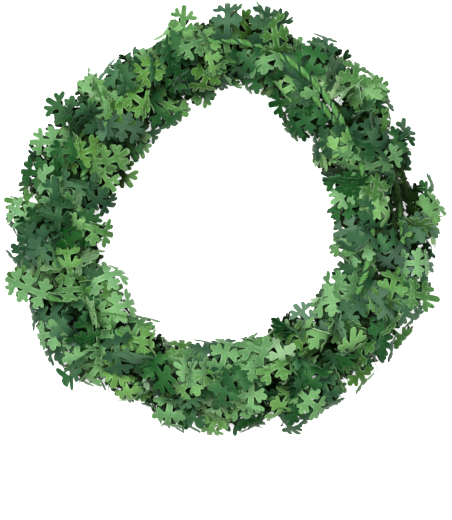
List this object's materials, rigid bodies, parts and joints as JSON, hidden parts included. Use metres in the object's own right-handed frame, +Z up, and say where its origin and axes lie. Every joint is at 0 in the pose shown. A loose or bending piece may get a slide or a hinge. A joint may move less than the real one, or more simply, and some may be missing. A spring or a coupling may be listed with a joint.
{
  "type": "leaf garland",
  "caption": "Artificial leaf garland: a long wired strand with two-tone green lobed fabric leaves, wound into a flat wreath-like ring that lies on a surface.",
  "frame": {"origin": "under the middle of the bounding box, on the surface that the ring lies on", "axes": "+Z up, out of the ring's plane; +X to the right and +Y to the top of the ring as it is seen from above"},
  "size_m": [0.2014, 0.2062, 0.035],
  "materials": {
    "wire": "dull drawn wire, hidden in the sleeve",
    "ribbon": "matte woven ribbon, twisted",
    "light_leaf": "matte stiffened woven fabric, leaf green, with a paler reverse",
    "dark_leaf": "matte stiffened woven fabric, bottle green, with a grey sheen"
  },
  "bodies": {
    "root": {"core_wire": "wire", "ribbon_sleeve": "ribbon", "turn1_dark_sprig_02": "dark_leaf", "turn1_dark_sprig_03": "dark_leaf", "turn1_dark_sprig_05": "dark_leaf", "turn1_dark_sprig_08": "dark_leaf", "turn1_light_sprig_01": "light_leaf", "turn1_light_sprig_04": "light_leaf", "turn1_light_sprig_06": "light_leaf", "turn1_light_sprig_07": "light_leaf", "turn1_light_sprig_09": "light_leaf", "turn2_dark_sprig_10": "dark_leaf", "turn2_dark_sprig_11": "dark_leaf", "turn2_dark_sprig_13": "dark_leaf", "turn2_dark_sprig_16": "dark_leaf", "turn2_light_sprig_12": "light_leaf", "turn2_light_sprig_14": "light_leaf", "turn2_light_sprig_15": "light_leaf", "turn2_light_sprig_17": "light_leaf", "turn3_dark_sprig_18": "dark_leaf", "turn3_dark_sprig_19": "dark_leaf", "turn3_dark_sprig_21": "dark_leaf", "turn3_dark_sprig_24": "dark_leaf", "turn3_dark_sprig_26": "dark_leaf", "turn3_light_sprig_20": "light_leaf", "turn3_light_sprig_22": "light_leaf", "turn3_light_sprig_23": "light_leaf", "turn3_light_sprig_25": "light_leaf", "turn4_dark_sprig_27": "dark_leaf", "turn4_dark_sprig_29": "dark_leaf", "turn4_dark_sprig_32": "dark_leaf", "turn4_dark_sprig_34": "dark_leaf", "turn4_light_sprig_28": "light_leaf", "turn4_light_sprig_30": "light_leaf", "turn4_light_sprig_31": "light_leaf", "turn4_light_sprig_33": "light_leaf", "turn5_dark_sprig_35": "dark_leaf", "turn5_dark_sprig_37": "dark_leaf", "turn5_dark_sprig_40": "dark_leaf", "turn5_dark_sprig_42": "dark_leaf", "turn5_dark_sprig_43": "dark_leaf", "turn5_light_sprig_36": "light_leaf", "turn5_light_sprig_38": "light_leaf", "turn5_light_sprig_39": "light_leaf", "turn5_light_sprig_41": "light_leaf", "turn6_dark_sprig_45": "dark_leaf", "turn6_dark_sprig_48": "dark_leaf", "turn6_dark_sprig_50": "dark_leaf", "turn6_light_sprig_44": "light_leaf", "turn6_light_sprig_46": "light_leaf", "turn6_light_sprig_47": "light_leaf", "turn6_light_sprig_49": "light_leaf"}
  },
  "joints": []
}
